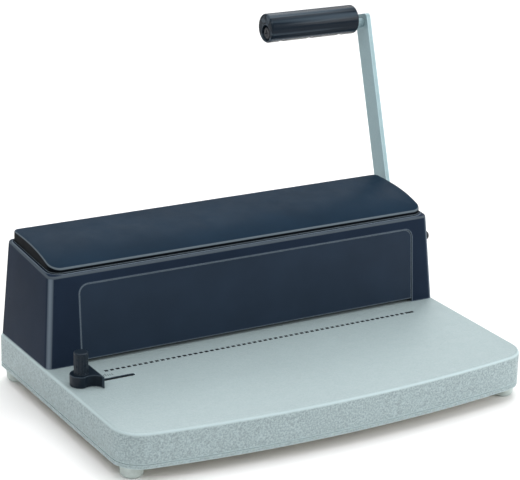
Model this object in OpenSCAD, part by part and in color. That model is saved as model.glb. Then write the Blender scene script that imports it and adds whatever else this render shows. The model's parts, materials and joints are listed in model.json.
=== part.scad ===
// Desktop comb binding machine: a steel base pan, a punch with square-cut pins driven by a
// side lever through racks and pinions, and a comb opener under a hinged lid.
// Lengths are millimetres. The modules draw in base coordinates: x from the left side of the
// base, y from its front corners, z from the desk. in_frame() moves them to the part's origin,
// the point on the desk under the middle of the whole machine. +Y is the back.

/* [Base] */
// Width of the base
base_w = 382; // [380:1:384]
// Depth of the base along its sides
base_d = 237.5; // [236:0.5:242]
// Height of the base walls
base_wall_h = 30; // [30:1:34]
// How far the front edge bows out at its middle
front_bow = 16; // [8:1:20]
// Plan radius of the two front corners
base_corner_r = 25; // [20:1:26]
// Radius along the top edge of the base
base_edge_r = 3; // [2:0.5:3.5]
// Thickness of the base sheet steel
sheet_t = 1.5; // [1.2:0.1:1.6]
// Height of the rubber feet
foot_h = 11; // [10:1:13]
// Diameter of the rubber feet
foot_d = 20; // [18:1:22]

/* [Hood] */
// Gap between the left side of the base and the hood
hood_left = 1.3; // [1.1:0.1:1.8]
// Width of the hood at its foot
hood_w = 380.4; // [379.8:0.1:380.6]
// Distance of the hood's foot behind the front corners
hood_front = 142; // [138:1:143]
// Depth of the hood at its foot
hood_d = 95; // [94.5:0.5:95]
// Height of the hood's shoulder at the front
shoulder_front_h = 78; // [77:0.5:79]
// Height of the hood's shoulder at the back
shoulder_back_h = 84; // [83:0.5:85]
// Draft of each side wall over the front shoulder height
hood_draft = 5.7; // [5:0.1:6]
// How far the front wall leans back over the front shoulder height
hood_lean = 7; // [5:0.5:8]
// Wall thickness of the hood
hood_wall = 2.5; // [2:0.1:2.5]

/* [Punch] */
// Number of punched slots
hole_count = 21; // [19:2:21]
// Pitch of the slots, 9/16 inch as plastic combs have it
hole_pitch = 14.2875; // [14.28:0.0025:14.29]
// Length of each slot
hole_w = 8; // [7:0.5:8]
// Width of each slot
hole_t = 3; // [2.5:0.1:3]
// Height of the paper throat
throat_h = 3.2; // [3:0.1:3.4]

/* [Handle] */
// Angle that the lever leans back from upright at rest
lever_lean = 17.2; // [15:0.1:20]
// Distance from the pivot to the grip rod
lever_reach = 209.2; // [200:0.1:215]
// Width of the flat lever bar
lever_w = 19.5; // [18:0.5:20]
// Thickness of the flat lever bar
lever_t = 4; // [3:0.5:4]
// Diameter of the grip
grip_d = 26.3; // [24:0.1:28]
// Length of the grip
grip_len = 92; // [85:1:95]
// Swing of the lever
swing = 90; // [80:1:90]

/* [Hidden] */

eps = 0.01;
silver = [0.68, 0.75, 0.76];
navy = [0.13, 0.17, 0.22];
lid_navy = [0.18, 0.24, 0.31];
steel = [0.66, 0.68, 0.70];
zinc = [0.78, 0.78, 0.74];
brass = [0.72, 0.58, 0.30];
rubber = [0.62, 0.68, 0.67];
black = [0.07, 0.09, 0.12];

// Heights
top = foot_h + base_wall_h;
sheet_z = top - sheet_t;

// Where the punch and its drive start, and the middle of the row of slots
works_y = hood_front + 8.7;
line_x = base_w/2 + 0.7;
function slot_x(k) = line_x + (k - (hole_count - 1)/2)*hole_pitch;
pins_y = works_y + 43;

// Lever pivot and grip
pivot_y = works_y + 66.6;
pivot_z = top + 24;
lever_x = base_w - 0.5;
lever_end = lever_reach + 8;
grip_rise = 4.3;
grip_gap = 10;
grip_x = lever_x - grip_gap - grip_len;
bolt_head_t = 2.5;
shaft_r = 6;
rod_r = 4.2;

// Racks and pinions
tooth_m = 1.25;
teeth = 14;
pitch_r = tooth_m*teeth/2;
press_a = 25;
addendum = 0.88*tooth_m;
dedendum = 1.08*tooth_m;
backlash = 0.25;
tooth_pitch = PI*tooth_m;
tooth_t = tooth_pitch/2 - backlash;
stroke = pitch_r*swing*PI/180;

// Hood corner positions
hood_right = hood_left + hood_w;
hood_back = hood_front + hood_d;
hood_front_r = 6.5;
hood_back_r = 4;
shoulder_r = 3;
back_draft = 2;
front_a = atan2(hood_lean, shoulder_front_h);
deck_z = top + 67.5;
deck_t = 2.5;
shoulder_slope = (shoulder_back_h - shoulder_front_h)/(hood_d - hood_lean - back_draft);
ledge_drop = 1;
lid_gap = 0.8;
bumper_h = 0.65;

// Lid outline and hinge
lid_x0 = hood_left + hood_draft + 3.3;
lid_x1 = hood_right - hood_draft - 3.3;
lid_y0 = hood_front + hood_lean + 3.5;
lid_y1 = hood_back - back_draft - 4;
lid_r = 10;
lid_back_r = 5;
lid_wall = 2.2;
hinge_y = lid_y1 + 1.7;
hinge_z = top + shoulder_back_h + 0.6;
knuckle_r = 2.8;
hinge_pin_r = 1.3;
hinge_xs = [67, base_w - 67];
knuckle_w = 12;

// Side frames
frame_t = 3;
frame_lx = 28;
frame_rx = 353;
frame_y0 = works_y + 18;
frame_y1 = works_y + 79;
frame_h = 64;
tie_y = works_y + 26;
tie_z = top + 56;
side_screw_y = hood_front + 14.5;
side_screw_z = top + 55.5;

// Punch stack
guide_z0 = top + throat_h;
guide_t = 6.8;
guide_y0 = works_y + 28;
guide_y1 = pins_y + 5.5;
bar_z = top + 25;
bar_h = 16;
bar_y0 = pins_y - 6;
bar_y1 = pins_y + 6;
bar_x0 = frame_lx + 14;
bar_x1 = frame_rx - 12;
ear_h = 10;
post_xs = [60, 323];
post_y = pins_y - 10.5;
post_r = 2.5;
rack_w = 6;
run_clear = 0.05;
die_t = 6;

// Hooks of the comb opener
hook_plate_z = top + 63;
hook_plate_t = 2.5;
hook_y = works_y + 58;
hook_w = 2.5;
hook_stem = 4;
hook_top_z = top + 80;
hook_rack_gap = 2.5;

// Edge guide
knob_x = 14;
knob_y = 104.8;
guide_disc_r = 9.25;
guide_h = 9.5;
guide_gap = 0.15;
slot_w = 4.8;
slot_lead = 6;
guide_travel = 45;
stop_x = 27.3;

// Chip tray
tray_x0 = 40;
tray_y0 = works_y + 18;
tray_y1 = works_y + 64;
tray_z0 = foot_h + sheet_t + 0.3;
tray_top = top - 8;
tray_wall = 1.6;
tray_face_t = 1.8;
tray_gap = 0.4;

// Screw sizes
m4_r = 2;
m3_r = 1.5;
screw_clear = 0.1;
foot_in = 14.5;
back_foot_in = 11.5;
foot_xy = [[foot_in, foot_in], [base_w - foot_in, foot_in],
    [back_foot_in, base_d - back_foot_in], [base_w - back_foot_in, base_d - back_foot_in]];
boss_in = 11;
boss_xy = [[boss_in + 1.5, hood_front + 14.5], [boss_in, hood_front + 63],
    [base_w - boss_in, hood_front + 24], [base_w - boss_in, hood_front + 58]];
frame_screw_ys = [works_y + 25, works_y + 62];
flange_w = 9;
frame_screw_xs = [frame_lx - flange_w/2, frame_rx + frame_t + flange_w/2];

// The part's origin: the middle of the whole outline, on the desk
grip_y = pivot_y + (lever_reach + grip_rise)*sin(lever_lean);
grip_z = pivot_z + (lever_reach + grip_rise)*cos(lever_lean);
mid_x = (lever_x + lever_t + bolt_head_t)/2;
mid_y = (grip_y + grip_d/2 - front_bow)/2;

module in_frame() translate([-mid_x, -mid_y, 0]) children();

// ---------- helpers ----------

function arc_pts(c, r, a0, a1, n, last = 0) =
    [for (k = [0:n - 1 + last]) c + r*[cos(a0 + (a1 - a0)*k/n), sin(a0 + (a1 - a0)*k/n)]];

// Plan outline of the base, drawn in by i: bowed front, rounded corners
back_corner_r = 4;
bow_r = (base_w*base_w/4 + front_bow*front_bow)/(2*front_bow);
bow_c = [base_w/2, bow_r - front_bow];
corner_y = bow_c[1] - sqrt(pow(bow_r - base_corner_r, 2) - pow(base_w/2 - base_corner_r, 2));
bow_a = 360 + atan2(corner_y - bow_c[1], base_corner_r - base_w/2);
function base_outline(i) = concat(
    arc_pts([base_corner_r, corner_y], base_corner_r - i, 180, bow_a, 14),
    arc_pts(bow_c, bow_r - i, bow_a, 540 - bow_a, 32),
    arc_pts([base_w - base_corner_r, corner_y], base_corner_r - i, 540 - bow_a, 360, 14, 1),
    arc_pts([base_w - back_corner_r, base_d - back_corner_r], back_corner_r - i, 0, 90, 6, 1),
    arc_pts([back_corner_r, base_d - back_corner_r], back_corner_r - i, 90, 180, 6, 1));

module base_slice(i, z, t = eps) translate([0, 0, z]) linear_extrude(t) polygon(base_outline(i));

// Closed block of the base outline whose top edge is rounded: rings of the outline joined by quads
module pan_block(z0, z1, edge_r, steps = 6) {
    n = len(base_outline(0));
    rings = concat([[0, z0]], [for (k = [0:steps]) let (a = 90*k/steps)
        [edge_r*(1 - cos(a)), z1 - edge_r*(1 - sin(a))]]);
    last = (len(rings) - 1)*n;
    points = [for (ring = rings, p = base_outline(ring[0])) [p[0], p[1], ring[1]]];
    sides = [for (i = [0:n:last - 1], j = [0:n - 1]) let (m = (j + 1) % n)
        [i + j, i + n + j, i + n + m, i + m]];
    polyhedron(points, concat([[for (j = [0:n - 1]) j], [for (j = [n - 1:-1:0]) last + j]], sides));
}

// Rounded rectangle from (0, 0), exact arcs
module round_rect(w, d, r) {
    translate([r, 0]) square([w - 2*r, d]);
    translate([0, r]) square([w, d - 2*r]);
    for (x = [r, w - r], y = [r, d - r]) translate([x, y]) circle(r, $fn = 48);
}

// Plate that stands across X: its 2D outline is given in (y, z)
module plate_x(x, t) translate([x, 0, 0]) rotate([90, 0, 90]) linear_extrude(t) children();

// Rod along X
module rod_x(x, y, z, len, r) translate([x, y, z]) rotate([0, 90, 0]) cylinder(h = len, r = r, $fn = 48);

// Frame that runs up the lever from its pivot
module along_lever() translate([0, pivot_y, pivot_z]) rotate([-lever_lean, 0, 0]) children();

// Screw that points down from its head: pan head above z = 0
module pan_screw(r, len, head_r, head_t) {
    translate([0, 0, -len]) cylinder(h = len, r = r, $fn = 32);
    difference() {
        rotate_extrude($fn = 48) {
            square([head_r, head_t/2]);
            translate([0, head_t/2]) square([head_r - head_t/2, head_t/2]);
            intersection() {
                translate([head_r - head_t/2, head_t/2]) circle(head_t/2, $fn = 48);
                square([head_r, head_t]);
            }
        }
        for (a = [0, 90]) rotate(a) translate([-head_r*0.55, -0.4, head_t - 0.9])
            cube([head_r*1.1, 0.8, 1]);
    }
}

// Countersunk screw: flat head flush with z = 0
module flat_screw(r, len, head_r, head_t) {
    translate([0, 0, -len]) cylinder(h = len - head_t, r = r, $fn = 32);
    difference() {
        translate([0, 0, -head_t]) cylinder(h = head_t, r1 = r, r2 = head_r, $fn = 48);
        for (a = [0, 90]) rotate(a) translate([-head_r*0.6, -0.3, -0.6]) cube([head_r*1.2, 0.6, 1]);
    }
}

// Involute pinion outline, one tooth centred on angle 180
function inv(a) = tan(a) - a*PI/180;
base_r = pitch_r*cos(press_a);
function half_a(r) = (tooth_t/2/pitch_r + inv(press_a) - inv(acos(min(1, base_r/r))))*180/PI;
function tooth(a0) = concat(
    [(pitch_r - dedendum)*[cos(a0 - half_a(base_r)), sin(a0 - half_a(base_r))]],
    [for (k = [0:4]) let (r = base_r + (pitch_r + addendum - base_r)*k/4)
        r*[cos(a0 - half_a(r)), sin(a0 - half_a(r))]],
    [for (k = [4:-1:0]) let (r = base_r + (pitch_r + addendum - base_r)*k/4)
        r*[cos(a0 + half_a(r)), sin(a0 + half_a(r))]],
    [(pitch_r - dedendum)*[cos(a0 + half_a(base_r)), sin(a0 + half_a(base_r))]]);
module pinion(x, len, pin_x) difference() {
    translate([0, pivot_y, pivot_z]) plate_x(x, len)
        polygon([for (k = [0:teeth - 1]) each tooth(180 + 360*k/teeth)]);
    rod_x(x - 1, pivot_y, pivot_z, len + 2, shaft_r);
    translate([pin_x, pivot_y, pivot_z - pitch_r]) cylinder(h = 2*pitch_r, r = 1, $fn = 24);
}

// Rack outline: pitch line on y = 0, teeth towards +y, gap or tooth centred on x = 0
function rack_pts(x0, x1, back, shift) =
    let (n0 = ceil((x0 + 2 - shift)/tooth_pitch), n1 = floor((x1 - 2 - shift)/tooth_pitch),
         tip = tooth_t/2 - addendum*tan(press_a), root = tooth_t/2 + dedendum*tan(press_a))
    concat([[x0, -back], [x0, -dedendum]],
        [for (n = [n0:n1]) let (c = shift + n*tooth_pitch)
            each [[c - root, -dedendum], [c - tip, addendum], [c + tip, addendum], [c + root, -dedendum]]],
        [[x1, -dedendum], [x1, -back]]);

// ---------- base ----------

module base_pan() color(silver) in_frame() difference() {
    pan_block(foot_h, top, base_edge_r);
    // inside, stepped under the rounded top edge
    base_slice(sheet_t, foot_h - 1, sheet_z - foot_h);
    base_slice(sheet_t + 1, foot_h - 1, sheet_z - foot_h + 1);
    // pressed line above the bottom hem
    difference() {
        base_slice(-1, foot_h + 3.2, 0.8);
        base_slice(0.5, foot_h + 3.2, 0.8);
    }
    die_window();
    guide_slot();
    // window for the chip tray
    translate([base_w - 5, tray_y0 - 4.4, tray_z0 - tray_gap])
        cube([10, tray_y1 - tray_y0 + 8.8, tray_top + 0.6 - tray_z0 + 2*tray_gap]);
    for (x = frame_screw_xs, y = frame_screw_ys) translate([x, y, sheet_z - 1])
        cylinder(h = 4, r = m4_r + screw_clear, $fn = 32);
    for (p = boss_xy) translate([p[0], p[1], sheet_z - 1])
        cylinder(h = 4, r = m4_r + screw_clear, $fn = 32);
    die_screw_places() translate([0, 0, -sheet_t - 0.5]) {
        cylinder(h = 3, r = m3_r, $fn = 32);
        translate([0, 0, 0.5]) cylinder(h = sheet_t, r1 = m3_r, r2 = 3, $fn = 48);
    }
}

module die_window() translate([frame_lx + 5 - screw_clear, pins_y - 13 - screw_clear, sheet_z - 1])
    cube([frame_rx - frame_lx - 7 + 2*screw_clear, 26 + 2*screw_clear, 4]);

module guide_slot() translate([knob_x, knob_y, sheet_z - 1]) {
    translate([-slot_lead, -slot_w/2, 0]) cube([slot_lead + guide_travel + 1, slot_w, 4]);
    for (x = [-slot_lead, guide_travel + 1]) translate([x, 0, 0]) cylinder(h = 4, r = slot_w/2, $fn = 32);
}

module die_screw_places() for (x = [line_x - 130, line_x, line_x + 130], y = [pins_y - 16, pins_y + 16])
    translate([x, y, top]) children();

module bottom_plate() color(zinc) in_frame() difference() {
    base_slice(sheet_t + 0.2, foot_h, sheet_t);
    for (p = foot_xy) translate([p[0], p[1], foot_h - 1]) cylinder(h = 4, r = m4_r + screw_clear, $fn = 32);
}

module pan_standoffs() color(zinc) in_frame() for (p = foot_xy) translate([p[0], p[1], foot_h + sheet_t])
    difference() {
        cylinder(h = sheet_z - foot_h - sheet_t, r = 4, $fn = 48);
        translate([0, 0, -1]) cylinder(h = 14, r = m4_r, $fn = 32);
    }

foot_recess = 5.5;
module feet() color(rubber) in_frame() for (p = foot_xy) translate([p[0], p[1], 0]) difference() {
    union() {
        cylinder(h = 2, r1 = foot_d/2 - 2.4, r2 = foot_d/2 - 0.8, $fn = 64);
        translate([0, 0, 2]) cylinder(h = foot_h - 2, r1 = foot_d/2 - 0.8, r2 = foot_d/2, $fn = 64);
    }
    translate([0, 0, -1]) cylinder(h = foot_recess + 1, r = 4.6, $fn = 48);
    cylinder(h = foot_h + 1, r = m4_r + screw_clear, $fn = 32);
}

module foot_screws() color(zinc) in_frame() for (p = foot_xy) translate([p[0], p[1], foot_recess])
    mirror([0, 0, 1]) pan_screw(m4_r, 18, 3.8, 2.4);

// ---------- side frames and their fasteners ----------

lug_below = 4;
module side_frame(x, out, lug) difference() {
    union() {
        plate_x(x, frame_t) difference() {
            polygon([[frame_y0, top], [frame_y1, top], [frame_y1, top + frame_h - 8],
                [frame_y1 - 8, top + frame_h], [frame_y0 - lug, top + frame_h],
                [frame_y0 - lug, side_screw_z - lug_below], [frame_y0, side_screw_z - lug_below - lug]]);
            translate([pivot_y, pivot_z]) circle(8, $fn = 64);
            translate([tie_y, tie_z]) circle(3, $fn = 32);
            // lightening window
            translate([pins_y, top + 50]) circle(5, $fn = 48);
        }
        translate([out > 0 ? x + frame_t - eps : x - flange_w + eps, frame_y0 + 1, top])
            cube([flange_w, 52, frame_t]);
    }
    for (fx = frame_screw_xs, y = frame_screw_ys) translate([fx, y, top - 1])
        cylinder(h = 6, r = m4_r + screw_clear, $fn = 32);
    guide_screw_places() rod_x(-1, 0, 0, frame_t + 2, m3_r);
    if (lug > 0) rod_x(x - 1, side_screw_y, side_screw_z, frame_t + 2, m4_r);
}
module side_frame_left() color(steel) in_frame() side_frame(frame_lx, -1, 0);
module side_frame_right() color(steel) in_frame() side_frame(frame_rx, 1, 15.5);

module guide_screw_places() for (x = [frame_lx, frame_rx], y = [guide_y0 + 5, guide_y1 - 5])
    translate([x, y, guide_z0 + guide_t/2]) children();

module frame_screws() color(zinc) in_frame() for (x = frame_screw_xs, y = frame_screw_ys)
    translate([x, y, top + frame_t]) pan_screw(m4_r, 8.5, 3.8, 2.4);

module frame_nuts() color(zinc) in_frame() for (x = frame_screw_xs, y = frame_screw_ys)
    translate([x, y, sheet_z - 3.2]) difference() {
        cylinder(h = 3.2, r = 4.04, $fn = 6);
        translate([0, 0, -1]) cylinder(h = 6, r = m4_r, $fn = 32);
    }

module tie_rod() color(steel) in_frame() {
    rod_x(frame_lx - 5, tie_y, tie_z, frame_rx - frame_lx + frame_t + 10, 3);
    rod_x(frame_lx + frame_t, tie_y, tie_z, frame_rx - frame_lx - frame_t, 4);
}

module tie_nuts() color(zinc) in_frame() for (x = [frame_lx - 3.2, frame_rx + frame_t])
    plate_x(x, 3.2) translate([tie_y, tie_z]) difference() {
        circle(5.2, $fn = 6);
        circle(3, $fn = 32);
    }

// ---------- punch ----------

module slot_row(z0, h, grow) for (k = [0:hole_count - 1])
    translate([slot_x(k) - hole_w/2 - grow, pins_y - hole_t/2 - grow, z0])
        cube([hole_w + 2*grow, hole_t + 2*grow, h]);

module die_plate() color(steel) in_frame() difference() {
    union() {
        translate([frame_lx + 5, pins_y - 13, top - die_t]) cube([frame_rx - frame_lx - 7, 26, die_t]);
        translate([frame_lx, pins_y - 19, top - die_t])
            cube([frame_rx - frame_lx + frame_t, 38, die_t - sheet_t]);
    }
    slot_row(top - die_t - 1, die_t + 2, 0.15);
    die_screw_places() translate([0, 0, -die_t - 1]) cylinder(h = die_t + 2, r = m3_r, $fn = 32);
}

module die_screws() color(zinc) in_frame() die_screw_places() flat_screw(m3_r, die_t + 1, 3, sheet_t);

module punch_guide() color(steel) in_frame() difference() {
    translate([frame_lx + frame_t, guide_y0, guide_z0])
        cube([frame_rx - frame_lx - frame_t, guide_y1 - guide_y0, guide_t]);
    slot_row(guide_z0 - 1, guide_t + 2, 0.15);
    for (x = post_xs) translate([x, post_y, guide_z0 - 1]) cylinder(h = guide_t + 2, r = post_r, $fn = 48);
    guide_screw_places() rod_x(-9, 0, 0, 20, m3_r);
    gauge_screw_places() rotate([90, 0, 0]) translate([0, 0, -1]) cylinder(h = 9, r = m3_r, $fn = 32);
}

module guide_screws() color(zinc) in_frame() {
    for (y = [guide_y0 + 5, guide_y1 - 5]) {
        translate([frame_lx, y, guide_z0 + guide_t/2]) rotate([0, -90, 0]) pan_screw(m3_r, 11, 2.8, 1.9);
        translate([frame_rx + frame_t, y, guide_z0 + guide_t/2]) rotate([0, 90, 0])
            pan_screw(m3_r, 11, 2.8, 1.9);
    }
}

gauge_t = 3;
module gauge_screw_places() for (k = [1.5, 10.5, 18.5])
    translate([slot_x(k), guide_y1, guide_z0 + 3]) children();

module back_gauge() color(zinc) in_frame() difference() {
    translate([line_x - 139, guide_y1, top]) cube([278, gauge_t, 8]);
    gauge_screw_places() rotate([-90, 0, 0]) translate([0, 0, -1]) cylinder(h = 9, r = m3_r, $fn = 32);
}

module gauge_screws() color(zinc) in_frame() gauge_screw_places()
    translate([0, gauge_t, 0]) rotate([-90, 0, 0]) pan_screw(m3_r, 9, 2.6, 1.8);

module guide_posts() color(steel) in_frame() for (x = post_xs) translate([x, post_y, guide_z0])
    cylinder(h = 46, r = post_r, $fn = 48);

// Compression spring round each post, between the guide and the bar's ear
spring_r = 3.6;
wire_r = 0.5;
spring_turns = 6.5;
spring_steps = 14;
spring_sides = 6;
module spring(z0, z1) {
    n = floor(spring_turns*spring_steps);
    pts = [for (k = [0:n], s = [0:spring_sides - 1])
        let (a = 360*k/spring_steps, b = 360*s/spring_sides, r = spring_r + wire_r*cos(b))
        [r*cos(a), r*sin(a), z0 + wire_r + (z1 - z0 - 2*wire_r)*k/n + wire_r*sin(b)]];
    sides = [for (k = [0:n - 1], s = [0:spring_sides - 1])
        let (i = k*spring_sides, j = i + spring_sides, t = (s + 1) % spring_sides)
        [i + s, j + s, j + t, i + t]];
    caps = [[for (s = [0:spring_sides - 1]) s], [for (s = [spring_sides - 1:-1:0]) n*spring_sides + s]];
    polyhedron(points = pts, faces = concat(sides, caps));
}
module return_springs() color(zinc) in_frame() for (x = post_xs) translate([x, post_y, 0])
    spring(guide_z0 + guide_t + 0.05, bar_z + bar_h - ear_h - 0.05);

module punch_bar() color(steel) in_frame() difference() {
    union() {
        translate([bar_x0, bar_y0, bar_z]) cube([bar_x1 - bar_x0, bar_y1 - bar_y0, bar_h]);
        for (x = post_xs) translate([x - 8, post_y - 4.5, bar_z + bar_h - ear_h]) cube([16, 6, ear_h]);
    }
    slot_row(bar_z - 1, 7, 0);
    for (x = post_xs) translate([x, post_y, bar_z]) cylinder(h = bar_h + 1, r = post_r + run_clear, $fn = 48);
    rack_screw_places() rod_y(3.2, 1);
}

// Steel pins with a shallow V across the tip; the outer ones are a little shorter
module punch_pins() color(zinc) in_frame() for (k = [0:hole_count - 1])
    let (tip = guide_z0 + 0.6 + 0.15*abs(k - (hole_count - 1)/2), h = bar_z + 6 - tip)
    translate([slot_x(k) - hole_w/2, pins_y + hole_t/2, tip]) rotate([90, 0, 0]) linear_extrude(hole_t)
        polygon([[0, 0], [hole_w/2, 1.2], [hole_w, 0], [hole_w, h], [0, h]]);

// Rack on the back of the bar: teeth towards the pinion, a gap level with the pivot at rest
module punch_rack(x) difference() {
    translate([0, pivot_y - pitch_r, pivot_z]) plate_x(x, rack_w)
        polygon([for (p = rack_pts(-4, stroke + 5, pivot_y - pitch_r - bar_y1, tooth_pitch/2)) [p[1], p[0]]]);
    rack_screw_places() rod_y(1, 12);
}
// M3 rod along Y that reaches fore and aft of its place
module rod_y(fore, aft) translate([0, aft, 0]) rotate([90, 0, 0])
    cylinder(h = fore + aft, r = m3_r, $fn = 32);
rack_left_x = bar_x0;
rack_right_x = bar_x1 - rack_w;
module rack_screw_places() for (x = [rack_left_x, rack_right_x], z = [bar_z + 4, bar_z + 12])
    translate([x + rack_w/2, bar_y1, z]) children();
module punch_rack_left() color(steel) in_frame() punch_rack(rack_left_x);
module punch_rack_right() color(steel) in_frame() punch_rack(rack_right_x);
module rack_screws() color(zinc) in_frame() rack_screw_places() rod_y(3, 4);

// ---------- drive shaft ----------

pinion_lx = frame_lx + frame_t + 2;
pinion_len = 15.5;
pinion_rx = frame_rx - 2 - pinion_len;
pin_lx = bar_x0 - 1.2;
pin_rx = bar_x1 + 1.2;
shaft_x0 = frame_lx - 5;
ring_x = shaft_x0 + 1.5;

module drive_shaft() color(steel) in_frame() difference() {
    rod_x(shaft_x0, pivot_y, pivot_z, lever_x + lever_t - shaft_x0, shaft_r);
    // groove for the retaining ring
    difference() {
        rod_x(ring_x, pivot_y, pivot_z, 1, shaft_r + 1);
        rod_x(ring_x - 1, pivot_y, pivot_z, 3, shaft_r - 0.8);
    }
    rod_x(lever_x + lever_t - 14, pivot_y, pivot_z, 15, 2.5);
    for (x = [pin_lx, pin_rx]) translate([x, pivot_y, pivot_z - pitch_r])
        cylinder(h = 2*pitch_r, r = 1, $fn = 24);
}
module pinion_left() color(steel) in_frame() pinion(pinion_lx, pinion_len, pin_lx);
module pinion_right() color(steel) in_frame() pinion(pinion_rx, pinion_len, pin_rx);
module pinion_pins() color(zinc) in_frame() for (x = [pin_lx, pin_rx])
    translate([x, pivot_y, pivot_z - pitch_r + 1.6]) cylinder(h = 2*pitch_r - 3.2, r = 1, $fn = 24);

module bush(x, flange_x) difference() {
    union() {
        rod_x(x, pivot_y, pivot_z, frame_t, 8);
        rod_x(flange_x, pivot_y, pivot_z, 1.5, 10.5);
    }
    rod_x(x - 5, pivot_y, pivot_z, frame_t + 10, shaft_r + run_clear);
}
module shaft_bush_left() color(brass) in_frame() bush(frame_lx, frame_lx - 1.5);
module shaft_bush_right() color(brass) in_frame() bush(frame_rx, frame_rx + frame_t);

module retaining_ring() color(zinc) in_frame() difference() {
    rod_x(ring_x, pivot_y, pivot_z, 1, 9);
    rod_x(ring_x - 1, pivot_y, pivot_z, 3, shaft_r - 0.8);
    translate([ring_x - 1, pivot_y - 3.5, pivot_z - 12]) cube([3, 7, 12]);
}

// ---------- handle ----------

collar_r = 8.5;
module arm_collar() color(black) in_frame() difference() {
    rod_x(lever_x - 7, pivot_y, pivot_z, 7, collar_r);
    rod_x(lever_x - 8, pivot_y, pivot_z, 9, shaft_r);
}

lever_corner_r = 4;
module handle_arm() color(silver) in_frame() along_lever() plate_x(lever_x, lever_t) difference() {
    union() {
        translate([-lever_w/2, 0]) square([lever_w, lever_end - lever_corner_r]);
        translate([lever_corner_r - lever_w/2, 0]) square([lever_w - 2*lever_corner_r, lever_end]);
        for (y = [-1, 1]) translate([y*(lever_w/2 - lever_corner_r), lever_end - lever_corner_r])
            circle(lever_corner_r, $fn = 48);
        circle(lever_w/2 + 2, $fn = 96);
    }
    circle(shaft_r, $fn = 64);
    translate([0, lever_reach]) circle(rod_r, $fn = 48);
}

module hub_bolt() color(zinc) in_frame() translate([lever_x + lever_t, pivot_y, pivot_z]) rotate([0, 90, 0])
    difference() {
        union() {
            translate([0, 0, -12]) cylinder(h = 12, r = 2.5, $fn = 32);
            cylinder(h = bolt_head_t - 1, r = 9, $fn = 64);
            translate([0, 0, bolt_head_t - 1]) cylinder(h = 1, r1 = 9, r2 = 7, $fn = 64);
        }
        translate([0, 0, bolt_head_t - 1.4]) cylinder(h = 3, r = 3, $fn = 6);
    }

module grip_rod() color(silver) in_frame() along_lever() difference() {
    rod_x(grip_x + 4, 0, lever_reach, lever_x + lever_t - grip_x - 4, rod_r);
    rod_x(grip_x + 3, 0, lever_reach, 15, m4_r);
}

// Plastic grip: rounded ends, the rod below its middle, finger notches underneath
grip_edge_r = 1.8;
grip_notch_r = 5;
grip_notch_depth = 1.3;
grip_recess_r = 7.5;
module grip() color(black) in_frame() along_lever() difference() {
    translate([grip_x, 0, lever_reach + grip_rise]) rotate([0, 90, 0]) rotate_extrude($fn = 96) {
        translate([0, grip_edge_r]) square([grip_d/2, grip_len - 2*grip_edge_r]);
        square([grip_d/2 - grip_edge_r, grip_len]);
        for (z = [grip_edge_r, grip_len - grip_edge_r])
            translate([grip_d/2 - grip_edge_r, z]) circle(grip_edge_r, $fn = 32);
    }
    rod_x(grip_x - 1, 0, lever_reach, grip_len + 2, rod_r);
    rod_x(grip_x - 1, 0, lever_reach, 4, grip_recess_r);
    for (f = [0.155, 0.48, 0.825])
        translate([grip_x + f*grip_len, grip_d, lever_reach + grip_rise - grip_d/2 + grip_notch_depth])
            translate([0, 0, -grip_notch_r]) rotate([90, 0, 0]) cylinder(h = 60, r = grip_notch_r, $fn = 48);
}

module grip_screw() color(black) in_frame() along_lever()
    translate([grip_x + 3, 0, lever_reach]) rotate([0, -90, 0]) {
        translate([0, 0, -1]) cylinder(h = 1, r = rod_r, $fn = 48);
        pan_screw(m4_r, 12, 5.4, 2.2);
    }

// ---------- comb opener ----------

// Hook outline in (y, z): a stem with a nose towards the front
module hook_outline() translate([hook_y, 0]) polygon([[0, hook_plate_z + hook_plate_t],
    [hook_stem, hook_plate_z + hook_plate_t], [hook_stem, hook_top_z - 1], [hook_stem - 1, hook_top_z],
    [-2.5, hook_top_z], [-3.5, hook_top_z - 1.5], [-3.5, hook_top_z - 3], [-2.6, hook_top_z - 3],
    [-2, hook_top_z - 2.2], [0, hook_top_z - 3.2]]);

hook_plate_y0 = hook_y - 6;
hook_plate_d = 20;
module hook_plate() color(zinc) in_frame() difference() {
    translate([frame_lx + frame_t + 2.5, hook_plate_y0, hook_plate_z])
        cube([frame_rx - frame_lx - frame_t - 5, hook_plate_d, hook_plate_t]);
    hook_screw_places() translate([0, 0, -hook_plate_t - 0.5]) {
        cylinder(h = 4, r = m3_r, $fn = 32);
        translate([0, 0, hook_plate_t + 0.5 - 1.4]) cylinder(h = 1.4, r1 = m3_r, r2 = 2.8, $fn = 48);
    }
}

// One hook per slot, standing on the plate
module comb_hooks() color(zinc) in_frame() for (k = [0:hole_count - 1])
    plate_x(slot_x(k) - hook_w/2, hook_w) hook_outline();

hook_rack_lx = frame_lx + frame_t + hook_rack_gap;
hook_rack_rx = frame_rx - hook_rack_gap - rack_w;
hook_post_y0 = pivot_y - 4.1;
module hook_screw_places()
    for (x = [hook_rack_lx, hook_rack_rx], y = [hook_post_y0 + 2.5, hook_post_y0 + 7.5])
        translate([x + rack_w/2, y, hook_plate_z + hook_plate_t]) children();

// Rack above the pinion with a post up to the hook plate; a tooth stands over the pivot at rest
hook_rack_back = 4.9;
module hook_rack(x) difference() {
    union() {
        translate([0, pivot_y, pivot_z + pitch_r]) plate_x(x, rack_w) mirror([0, 1])
            polygon(rack_pts(hook_post_y0 - pivot_y, stroke + 1.5, dedendum + hook_rack_back, 0));
        translate([x, hook_post_y0, pivot_z + pitch_r + dedendum])
            cube([rack_w, 10, hook_plate_z - pivot_z - pitch_r - dedendum]);
    }
    hook_screw_places() translate([0, 0, -12]) cylinder(h = 11, r = m3_r, $fn = 32);
}
module hook_rack_left() color(steel) in_frame() hook_rack(hook_rack_lx);
module hook_rack_right() color(steel) in_frame() hook_rack(hook_rack_rx);
module hook_screws() color(zinc) in_frame() hook_screw_places() flat_screw(m3_r, 11, 2.8, 1.4);

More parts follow.
